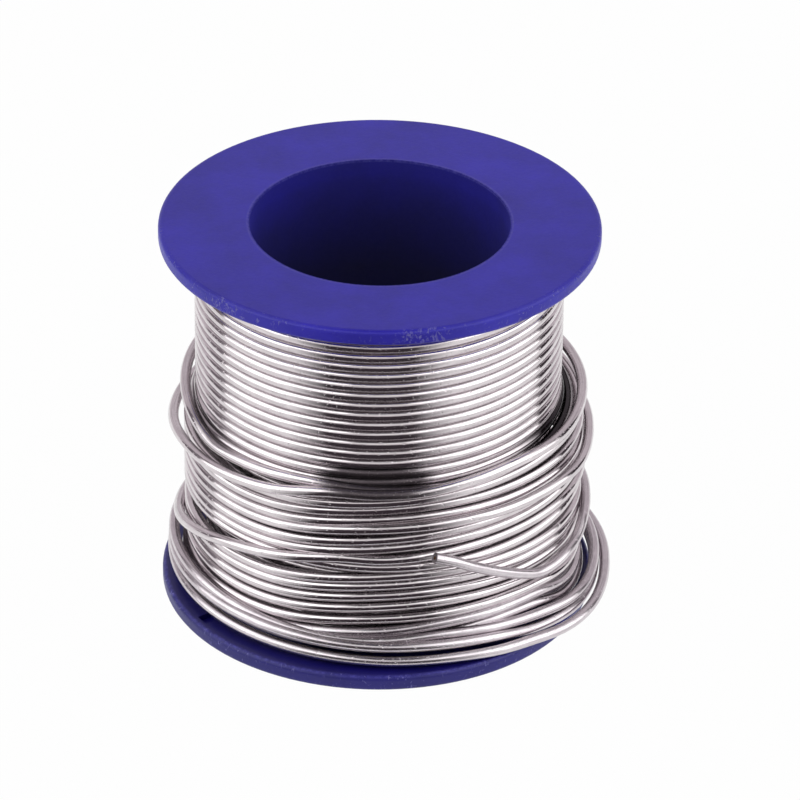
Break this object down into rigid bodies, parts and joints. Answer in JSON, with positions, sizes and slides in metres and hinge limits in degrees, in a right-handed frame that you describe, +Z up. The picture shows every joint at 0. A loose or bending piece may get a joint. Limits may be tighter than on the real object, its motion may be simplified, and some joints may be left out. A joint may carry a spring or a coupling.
{
  "type": "solder wire spool",
  "caption": "Moulded spool with a wide open bore, wound with cored solder wire whose lower turns have sprung loose.",
  "frame": {"origin": "on the bore's axis, in the face that the spool stands on", "axes": "+Z up along the bore's axis; -Y is the side where the loose end's cut tip lies"},
  "size_m": [0.0419, 0.0417, 0.0375],
  "materials": {
    "spool_plastic": "moulded, semi-gloss navy blue",
    "solder": "drawn tin-lead wire, bright to satin",
    "flux": "amber rosin"
  },
  "bodies": {
    "root": {"spool": "spool_plastic", "packed_layers": "solder", "tight_turns": "solder", "slack_turns": "solder", "bottom_loops": "solder", "loose_end": "solder", "cut_tip": "solder", "flux_core": "flux"}
  },
  "joints": []
}
